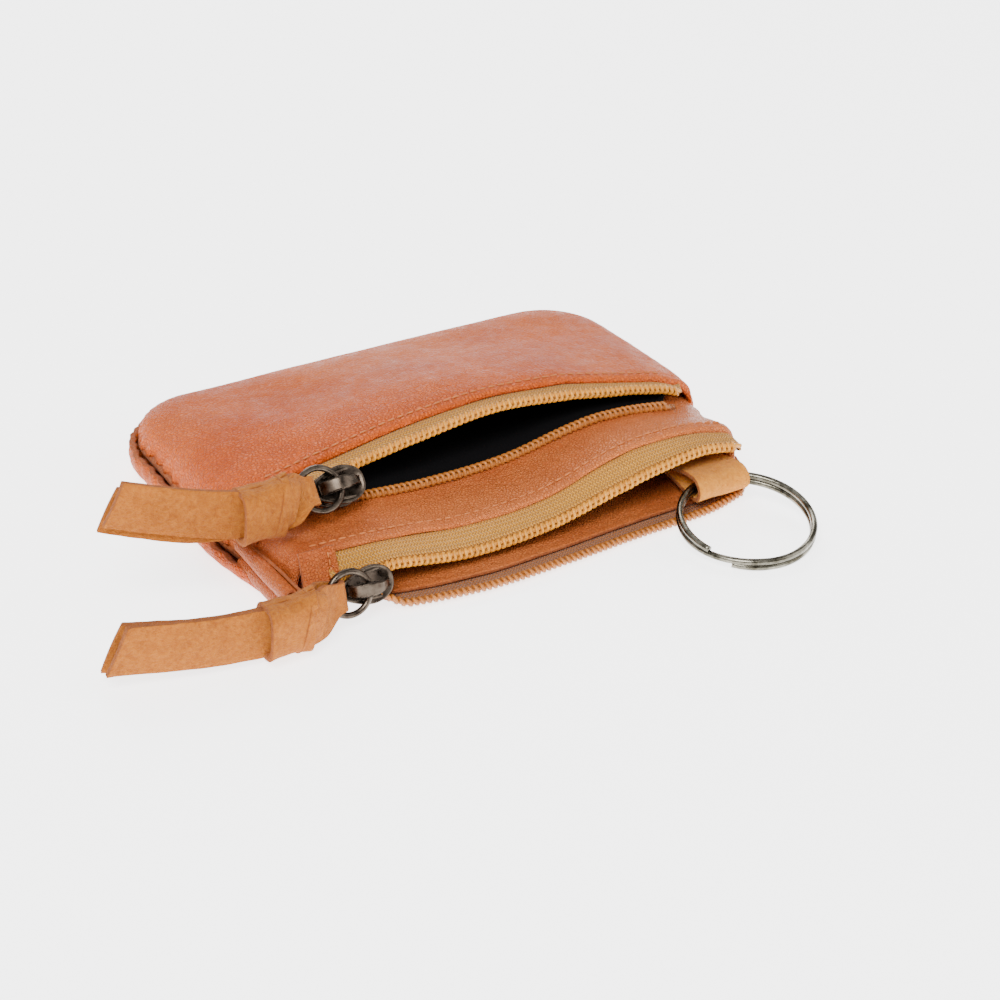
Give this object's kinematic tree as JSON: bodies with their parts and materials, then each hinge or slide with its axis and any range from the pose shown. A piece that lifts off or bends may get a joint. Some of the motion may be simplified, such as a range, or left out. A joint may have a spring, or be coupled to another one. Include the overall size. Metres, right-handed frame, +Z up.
{
  "type": "zip coin pouch wallet",
  "caption": "Small tan leather pouch wallet with two zipped pockets, knotted leather zip pulls and a split key ring on a leather tab",
  "frame": {"origin": "centre of the bounding box's base, on the surface that the pouch lies on", "axes": "+X along the zips from their sliders to the key tab, +Y from the mouth to the closed back edge, +Z up through the panels"},
  "size_m": [0.1646, 0.121, 0.0358],
  "materials": {
    "tan_leather": "semi-smooth cognac leather with fine grain",
    "suede_leather": "matt nubuck leather, raw cut edges",
    "black_lining": "matt woven lining",
    "zip_tape": "woven zip tape",
    "zip_coil": "nylon coil",
    "gunmetal": "dark plated zinc casting",
    "antique_nickel": "antique nickel plated spring steel"
  },
  "bodies": {
    "pouch": {"back_panel": "tan_leather", "middle_panel": "tan_leather", "front_panel": "tan_leather", "back_facing": "tan_leather", "main_end_tab": "tan_leather", "coin_end_tab": "tan_leather", "main_lining_back": "black_lining", "main_lining_front": "black_lining", "coin_lining_back": "black_lining", "coin_lining_front": "black_lining", "main_tape_upper": "zip_tape", "main_tape_lower": "zip_tape", "coin_tape_upper": "zip_tape", "coin_tape_lower": "zip_tape", "main_coil_upper": "zip_coil", "main_coil_lower": "zip_coil", "coin_coil_upper": "zip_coil", "coin_coil_lower": "zip_coil"},
    "main_slider": {"main_slider": "gunmetal"},
    "coin_slider": {"coin_slider": "gunmetal"},
    "main_ring": {"main_pull_ring": "gunmetal"},
    "coin_ring": {"coin_pull_ring": "gunmetal"},
    "main_strap": {"main_pull_strap": "suede_leather"},
    "coin_strap": {"coin_pull_strap": "suede_leather"},
    "key_tab": {"key_tab": "suede_leather"},
    "key_ring": {"key_ring": "antique_nickel"}
  },
  "joints": [
    {"name": "main_zip_travel", "type": "slide", "parent": "pouch", "child": "main_slider", "axis": [0.9988, -0.0499, 0], "range_m": [0, 0.068], "deforming": ["main_tape_upper", "main_tape_lower", "main_coil_upper", "main_coil_lower"]},
    {"name": "coin_zip_travel", "type": "slide", "parent": "pouch", "child": "coin_slider", "axis": [0.9991, 0.03, 0.03], "range_m": [0, 0.082], "deforming": ["coin_tape_upper", "coin_tape_lower", "coin_coil_upper", "coin_coil_lower"]},
    {"name": "main_ring_swing", "type": "hinge", "parent": "main_slider", "child": "main_ring", "pos_m": [-0.02348, -0.03312, 0.00781], "axis": [0, 0.2588, 0.9659], "range_deg": [0, 100]},
    {"name": "coin_ring_swing", "type": "hinge", "parent": "coin_slider", "child": "coin_ring", "pos_m": [-0.01979, -0.01342, 0.02165], "axis": [0, 0.6428, 0.766], "range_deg": [0, 100]},
    {"name": "main_strap_swing", "type": "hinge", "parent": "main_ring", "child": "main_strap", "pos_m": [-0.03288, -0.03312, 0.00781], "axis": [0, 0.2588, 0.9659], "range_deg": [-10, 25]},
    {"name": "coin_strap_swing", "type": "hinge", "parent": "coin_ring", "child": "coin_strap", "pos_m": [-0.02918, -0.01342, 0.02165], "axis": [0, 0.6428, 0.766], "range_deg": [-10, 25]},
    {"name": "key_tab_bend", "type": "hinge", "parent": "pouch", "child": "key_tab", "pos_m": [0.06481, -0.01874, 0.0066], "axis": [-1, 0, 0], "range_deg": [0, 4]},
    {"name": "key_ring_swing", "type": "hinge", "parent": "key_tab", "child": "key_ring", "pos_m": [0.06481, -0.03034, 0.0069], "axis": [-0.9962, 0.0872, 0], "range_deg": [0, 45]}
  ]
}
